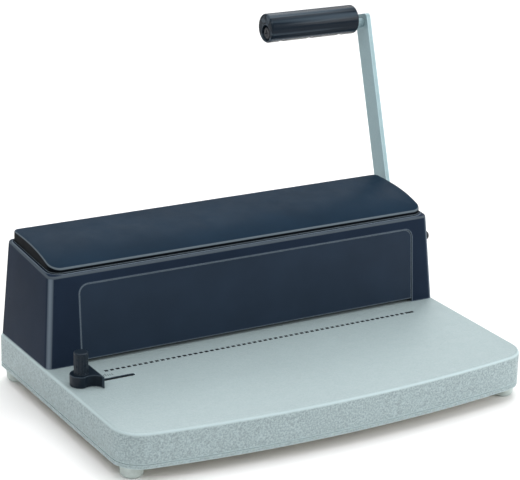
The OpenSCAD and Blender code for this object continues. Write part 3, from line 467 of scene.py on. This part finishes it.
def round_edges(piece, width, segments, sharp):
    """Rounds the edges that turn by more than sharp degrees; width is in millimetres."""
    bevel = piece.modifiers.new("edges", "BEVEL")
    bevel.width = width * MM
    bevel.segments = segments
    bevel.limit_method = "ANGLE"
    bevel.angle_limit = math.radians(sharp)
    bevel.harden_normals = True


def soften(piece, width):
    """Welds a mesh's seams, merges its flat faces and rounds its edges by width, in millimetres."""
    mesh = piece.data
    if "custom_normal" in mesh.attributes:
        mesh.attributes.remove(mesh.attributes["custom_normal"])
    for face in mesh.polygons:
        face.use_smooth = True
    weld = piece.modifiers.new("weld", "WELD")
    weld.merge_threshold = WELD_REACH
    if width:
        flat = piece.modifiers.new("flat", "DECIMATE")
        flat.decimate_type = "DISSOLVE"
        flat.angle_limit = math.radians(FLAT_ANGLE)
        round_edges(piece, width, 2, 38)
    else:
        piece.modifiers.new("normals", "WEIGHTED_NORMAL")


def dress_cad_nodes():
    """Every CAD node gets the material of its record slot and softened edges."""
    for row in frame["record"]["subparts"]:
        piece = nodes[row["node"]]
        piece.data.materials.clear()
        piece.data.materials.append(FINISH[row["material_slot"]])
        soften(piece, SOFT_EDGE.get(row["node"], USUAL_EDGE))


# ---------------------------------------------------------------- pieces made here


def new_piece(name, build, material, body, slot, *replaced):
    """A mesh piece that rides on body, in place of the CAD nodes replaced; build fills a bmesh."""
    shape = bmesh.new()
    build(shape)
    bmesh.ops.recalc_face_normals(shape, faces=shape.faces)
    mesh = bpy.data.meshes.new(name)
    shape.to_mesh(mesh)
    shape.free()
    for face in mesh.polygons:
        face.use_smooth = True
    mesh.materials.append(material)
    piece = bpy.data.objects.new(name, mesh)
    bpy.context.scene.collection.objects.link(piece)
    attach(piece, body)
    if replaced:
        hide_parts(*replaced)
    return piece


def add_block(shape, low, high):
    """A box between two corners."""
    size = Vector(high) - Vector(low)
    middle = (Vector(high) + Vector(low)) / 2
    placed = Matrix.Translation(middle) @ Matrix.Diagonal((*size, 1))
    bmesh.ops.create_cube(shape, size=1, matrix=placed)


def loop(shape, points):
    """A ring of new vertices."""
    return [shape.verts.new(point) for point in points]


def bridge(shape, first, second):
    """Quads between two closed rings of equal length."""
    for k in range(len(first)):
        n = (k + 1) % len(first)
        shape.faces.new((first[k], first[n], second[n], second[k]))


def ring_x(shape, x, width, y, z, outer, inner, steps=40):
    """A tube along X, centred on (x, y, z)."""
    angles = [2 * math.pi * k / steps for k in range(steps)]
    rings = []
    for side, radius in ((-1, inner), (-1, outer), (1, outer), (1, inner)):
        place = x + side * width / 2
        circle = [(place, y + radius * math.cos(a), z + radius * math.sin(a)) for a in angles]
        rings.append(loop(shape, circle))
    for first, second in zip(rings, rings[1:] + rings[:1]):
        bridge(shape, first, second)


# ---- lid: a smooth skin in place of the faceted CAD lid

LID_LOW, LID_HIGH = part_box("top_lid")
BASE_LOW, BASE_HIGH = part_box("base_pan")
LID_FRONT_R = 10 * MM
LID_BACK_R = 5 * MM
LID_WALL = 2.2 * MM
LID_EDGE_R = 1.6 * MM
LID_FALL = 11 * MM
LID_CROWN = 1 * MM
CROWN_IN = 26 * MM
HINGE_BEHIND = 1.7 * MM
KNUCKLE_R = 2.8 * MM
KNUCKLE_W = 12 * MM
HINGE_BORE = 1.35 * MM
# The hood's knuckles stand beside the lid's, and the lid's back is cut away round them
KNUCKLE_GAP = 0.1 * MM
KNUCKLE_CUT = 9 * MM
KNUCKLE_OVER = 0.6 * MM
LEAST_CORNER = 0.6 * MM
CORNER_STEPS = 10
LID_BACK = LID_HIGH.y - KNUCKLE_R - HINGE_BEHIND
LID_TOP = LID_HIGH.z - LID_CROWN
# The ledge of the hood that the lid rests on rises 6 over the 86 from front to back
LEDGE_SLOPE = 6 / 86
HINGE_Z = BASE_HIGH.z + 84.6 * MM
HINGE_XS = [BASE_LOW.x + 67 * MM, BASE_HIGH.x - 67 * MM]


def lid_edge(y):
    """Height of the lid along its rim: level at the back, curving down at the front."""
    t = max(0.0, (LID_BACK - y) / (LID_BACK - LID_LOW.y))
    return LID_TOP - LID_FALL * t**3


def lid_foot(y):
    """Height of the lid's lower edge, which follows the hood's ledge."""
    return LID_LOW.z + LEDGE_SLOPE * (y - LID_LOW.y)


def in_hood_knuckle(x):
    """Whether x is where one of the hood's own hinge knuckles stands."""
    near = KNUCKLE_W / 2 + KNUCKLE_GAP
    far = KNUCKLE_W / 2 + KNUCKLE_CUT
    return any(near < abs(x - hinge) < far for hinge in HINGE_XS)


def lid_ring(inset):
    """Plan points of the lid's outline, drawn in by inset; every ring has the same count."""
    x0, x1 = LID_LOW.x + inset, LID_HIGH.x - inset
    y0, y1 = LID_LOW.y + inset, LID_BACK - inset
    front = max(LID_FRONT_R - inset, LEAST_CORNER)
    back = max(LID_BACK_R - inset, LEAST_CORNER)
    front, back = (min(r, (y1 - y0) / 2.2) for r in (front, back))
    points = []

    def corner(cx, cy, radius, start):
        for k in range(CORNER_STEPS + 1):
            a = math.radians(start + 90 / CORNER_STEPS * k)
            points.append((cx + radius * math.cos(a), cy + radius * math.sin(a)))

    def side(start, end, count):
        for k in range(1, count):
            points.append(tuple(a + (b - a) * k / count for a, b in zip(start, end)))

    def back_side():
        """The back from right to left, with a stop at each side of each cut for a knuckle."""
        low_x, high_x = x0 + back + 0.1 * MM, x1 - back - 0.1 * MM
        cut = (9.0, 8.9, 0.2, 0.1)
        stops = [
            hinge + way * (KNUCKLE_W / 2 + offset * MM)
            for hinge in HINGE_XS for way in (1, -1) for offset in cut
        ]
        between = [HINGE_XS[0] + (HINGE_XS[1] - HINGE_XS[0]) * k / 8 for k in range(2, 7)]
        for x in sorted(stops + between, reverse=True):
            points.append((min(max(x, low_x), high_x), y1))

    corner(x0 + front, y0 + front, front, 180)
    side((x0 + front, y0), (x1 - front, y0), 24)
    corner(x1 - front, y0 + front, front, 270)
    side((x1, y0 + front), (x1, y1 - back), 18)
    corner(x1 - back, y1 - back, back, 0)
    back_side()
    corner(x0 + back, y1 - back, back, 90)
    side((x0, y1 - back), (x0, y0 + front), 18)
    return points


def lid_height(y, inset):
    """Height of the lid's skin at y, inset from its rim: the crown rises over its outer part."""
    rise = 1 - (1 - min(inset / CROWN_IN, 1)) ** 2
    return lid_edge(y) + LID_CROWN * rise


def build_lid(shape):
    """The lid's skin: rings up the outside and over the top, and again underneath."""
    round_steps = 5
    angles = [math.pi / 2 * k / round_steps for k in range(round_steps + 1)]
    outside = [(LID_EDGE_R * (1 - math.cos(a)), LID_EDGE_R * (1 - math.sin(a))) for a in angles]
    inner_steps = [m * MM for m in (5, 9, 14, 20, 26, 31, 35, 38.4)]

    def foot_ring(inset):
        points = []
        for x, y in lid_ring(inset):
            z = lid_foot(y)
            if y > LID_BACK - LID_WALL - 0.1 * MM and in_hood_knuckle(x):
                z = HINGE_Z + KNUCKLE_R + KNUCKLE_OVER
            points.append((x, y, z))
        return loop(shape, points)

    def top_ring(inset, drop):
        return loop(shape, [(x, y, lid_height(y, inset) - drop) for x, y in lid_ring(inset)])

    rings = [foot_ring(LID_WALL), foot_ring(0)]
    rings += [top_ring(inset, drop) for inset, drop in outside]
    rings += [top_ring(inset, 0) for inset in inner_steps]
    for first, second in zip(rings, rings[1:]):
        bridge(shape, first, second)
    shape.faces.new(rings[-1])
    under = [rings[0], top_ring(LID_WALL, LID_WALL)]
    under += [top_ring(inset, LID_WALL) for inset in inner_steps]
    for first, second in zip(under, under[1:]):
        bridge(shape, first, second)
    shape.faces.new(under[-1])
    for x in HINGE_XS:
        ring_x(shape, x, KNUCKLE_W, LID_BACK + HINGE_BEHIND, HINGE_Z, KNUCKLE_R, HINGE_BORE)


def make_lid():
    """The lid in place of the CAD lid, whose top is made of flat strips."""
    lid = new_piece("lid_skin", build_lid, LID, "lid", "lid_plastic", "top_lid")
    round_edges(lid, 0.3, 1, 35)


# ---- return springs: round wire, which on the machine squeezes as the punch comes down

SPRINGS_LOW, SPRINGS_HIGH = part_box("return_springs")
WIRE_R = 0.5 * MM
COIL_R = 3.6 * MM
COIL_TURNS = 6.5
STEPS_PER_TURN = 26
WIRE_SIDES = 8


def build_springs(shape):
    """Two coils of round wire, at the two ends of the CAD springs' box."""
    steps = round(COIL_TURNS * STEPS_PER_TURN)
    inset = COIL_R + WIRE_R
    y = (SPRINGS_LOW.y + SPRINGS_HIGH.y) / 2
    low, high = SPRINGS_LOW.z + WIRE_R, SPRINGS_HIGH.z - WIRE_R
    for x in (SPRINGS_LOW.x + inset, SPRINGS_HIGH.x - inset):
        rings = []
        for k in range(steps + 1):
            a = 2 * math.pi * COIL_TURNS * k / steps
            z = low + (high - low) * k / steps
            ring = []
            for j in range(WIRE_SIDES):
                b = 2 * math.pi / WIRE_SIDES * j
                r = COIL_R + WIRE_R * math.cos(b)
                ring.append((x + r * math.cos(a), y + r * math.sin(a), z + WIRE_R * math.sin(b)))
            rings.append(loop(shape, ring))
        for first, second in zip(rings, rings[1:]):
            bridge(shape, first, second)
        shape.faces.new(rings[0])
        shape.faces.new(rings[-1])


def make_springs():
    """The two springs stand on the base at one fixed length; the real ones lose as much length as
    the punch travels.
    """
    name = "coil_springs"
    coils = new_piece(name, build_springs, SPRING_STEEL, "base", "spring_steel", "return_springs")
    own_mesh(coils)


# ---- marks printed on the base, and a black lining that paints the shade inside the guide's slot

PINS_LOW, PINS_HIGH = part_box("punch_pins")
LINE_X = (PINS_LOW.x + PINS_HIGH.x) / 2
LINE_Y = BASE_LOW.y + FRONT_BOW + 121 * MM
DASH_COUNT = 58
DASH_PITCH = 5.17 * MM
DASH_SIZE = Vector((3.1, 3.0)) * MM
INK_UP = 0.06 * MM
INK_DOWN = 0.05 * MM
TICK_COUNT = 8
TICK_PITCH = 1.9 * MM
TICK_WIDTH = 0.45 * MM
TICK_LENGTH = 3.0 * MM
LONG_TICK = 5.0 * MM
SLOT_FROM_LEFT = 14 * MM
SLOT_LENGTH = 46 * MM
SLOT_Y = BASE_LOW.y + FRONT_BOW + 104.8 * MM
SLOT_SHADE_OUTER = 2.38 * MM
SLOT_SHADE_INNER = 2.26 * MM
SLOT_SHADE_UP = 0.03 * MM
SLOT_SHADE_DOWN = 1.7 * MM
SLOT_SHADE_STEPS = 12


def add_ink(shape, x0, y0, x1, y1):
    """A rectangle of ink on the base's top, sunk a little into the paint."""
    z = BASE_HIGH.z
    add_block(shape, (x0, y0, z - INK_DOWN), (x1, y1, z + INK_UP))


def build_dashes(shape):
    """The dashed line that shows the length of a sheet; its last dash is longer."""
    for k in range(DASH_COUNT):
        x = LINE_X + (k - (DASH_COUNT - 1) / 2) * DASH_PITCH
        half = DASH_SIZE / 2
        right = x + half.x + (DASH_PITCH if k == DASH_COUNT - 1 else 0)
        add_ink(shape, x - half.x, LINE_Y - half.y, right, LINE_Y + half.y)


def build_scale(shape):
    """A short row of generic tick marks beside the start of the guide's slot."""
    x0 = BASE_LOW.x + 32 * MM
    y0 = LINE_Y - 10 * MM
    for k in range(TICK_COUNT):
        length = LONG_TICK if k % 4 == 0 else TICK_LENGTH
        x = x0 + k * TICK_PITCH
        add_ink(shape, x, y0, x + TICK_WIDTH, y0 + length)


def build_slot_shade(shape):
    """A thin black wall round the inside of the slot that the edge guide runs in, which paints the
    shade inside the narrow slot.
    """
    x0 = BASE_LOW.x + SLOT_FROM_LEFT
    x1 = x0 + SLOT_LENGTH
    top, bottom = BASE_HIGH.z + SLOT_SHADE_UP, BASE_HIGH.z - SLOT_SHADE_DOWN
    section = (
        (SLOT_SHADE_OUTER, bottom), (SLOT_SHADE_OUTER, top), (SLOT_SHADE_INNER, top), (SLOT_SHADE_INNER, bottom),
    )
    rings = []
    for radius, z in section:
        points = []
        for centre, start in ((x1, -90), (x0, 90)):
            for k in range(SLOT_SHADE_STEPS + 1):
                a = math.radians(start + 180 / SLOT_SHADE_STEPS * k)
                points.append((centre + radius * math.cos(a), SLOT_Y + radius * math.sin(a), z))
        rings.append(loop(shape, points))
    for first, second in zip(rings, rings[1:] + rings[:1]):
        bridge(shape, first, second)


def make_print():
    """The printed marks and the black lining that paints the slot's shade, all on the base."""
    new_piece("alignment_dashes", build_dashes, INK, "base", "black_plastic")
    new_piece("scale_ticks", build_scale, INK, "base", "black_plastic")
    # black sheet that paints the shade inside the slot
    new_piece("slot_shade", build_slot_shade, TRIM, "base", "black_plastic")


make_camera()
make_floor()
make_light()
dress_cad_nodes()
make_lid()
make_springs()
make_print()
